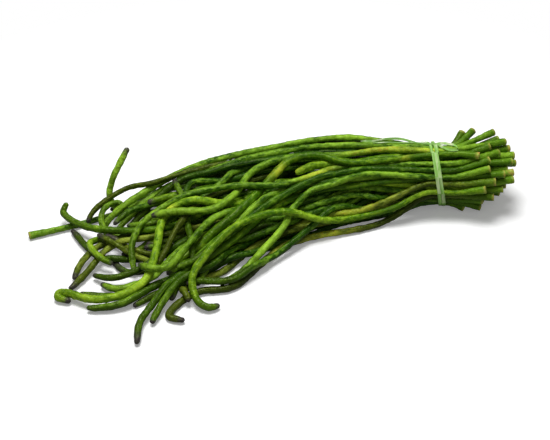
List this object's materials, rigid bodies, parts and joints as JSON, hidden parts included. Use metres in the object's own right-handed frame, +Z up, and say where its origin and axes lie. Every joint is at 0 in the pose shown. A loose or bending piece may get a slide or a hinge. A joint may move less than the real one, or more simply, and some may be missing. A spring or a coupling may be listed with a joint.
{
  "type": "yardlong bean bunch",
  "caption": "Bunch of fresh yardlong beans lying on its side, tied with flat twine near the cut stems, the pods fanning out and curling at the tips.",
  "frame": {"origin": "middle of the footprint, on the surface the bunch lies on", "axes": "+X along the bunch from the pods' tips to the cut stems, +Z up, the fan spreads towards -Y"},
  "size_m": [0.482, 0.2552, 0.0682],
  "materials": {
    "bean_green": "satin, slightly wrinkled pod skin",
    "bean_bright": "satin, slightly wrinkled pod skin",
    "bean_deep": "satin, slightly wrinkled pod skin",
    "bean_olive": "satin, slightly wrinkled pod skin",
    "twine": "fibrous flat raffia twine"
  },
  "bodies": {
    "root": {"pod_ridge_back": "bean_olive", "pod_ridge_top": "bean_green", "pod_ridge_second": "bean_green", "pod_ridge_third": "bean_green", "pod_level": "bean_green", "pod_bright": "bean_bright", "pod_crossing": "bean_green", "pod_pale_tip": "bean_green", "pod_diagonal_long": "bean_green", "pod_inner_bend": "bean_green", "pod_front_dark": "bean_green", "pod_olive_yellow": "bean_olive", "pod_sweeping": "bean_bright", "pod_floor_yellow": "bean_olive", "pod_floor_front": "bean_deep", "pod_floor_middle": "bean_deep", "pod_floor_back": "bean_deep", "pod_stub": "bean_bright", "pod_front_long": "bean_green", "pod_shoulder": "bean_green", "pod_thin": "bean_green", "pod_front_short": "bean_bright", "pod_hook_front": "bean_bright", "pod_u_bend": "bean_green", "pod_curled_over": "bean_green", "pod_turned_down": "bean_olive", "pod_white_tip": "bean_bright", "pod_short_cross": "bean_green", "pod_brown_back": "bean_olive", "pod_upright": "bean_green", "pod_loop": "bean_green", "pod_loop_tip": "bean_deep", "pod_hook_left": "bean_bright", "pod_grey_tip": "bean_deep", "pod_left_down": "bean_olive", "pod_left_cross": "bean_olive", "pod_left_curl": "bean_bright", "pod_lower_bow": "bean_green", "pod_lower_bow_front": "bean_green", "pod_floor_thin": "bean_deep", "pod_blunt_end": "bean_green", "pod_grey_olive": "bean_olive", "pod_inner_1": "bean_deep", "pod_inner_2": "bean_deep", "pod_inner_3": "bean_deep", "pod_inner_4": "bean_deep", "pod_inner_5": "bean_deep", "pod_inner_6": "bean_deep", "pod_inner_7": "bean_deep", "pod_inner_8": "bean_deep", "pod_inner_9": "bean_deep", "pod_inner_10": "bean_deep", "pod_inner_11": "bean_deep", "pod_inner_12": "bean_deep", "pod_inner_13": "bean_deep", "pod_inner_14": "bean_deep", "pod_inner_15": "bean_deep", "pod_inner_16": "bean_deep", "pod_reversed": "bean_green", "twine_tie": "twine"}
  },
  "joints": []
}
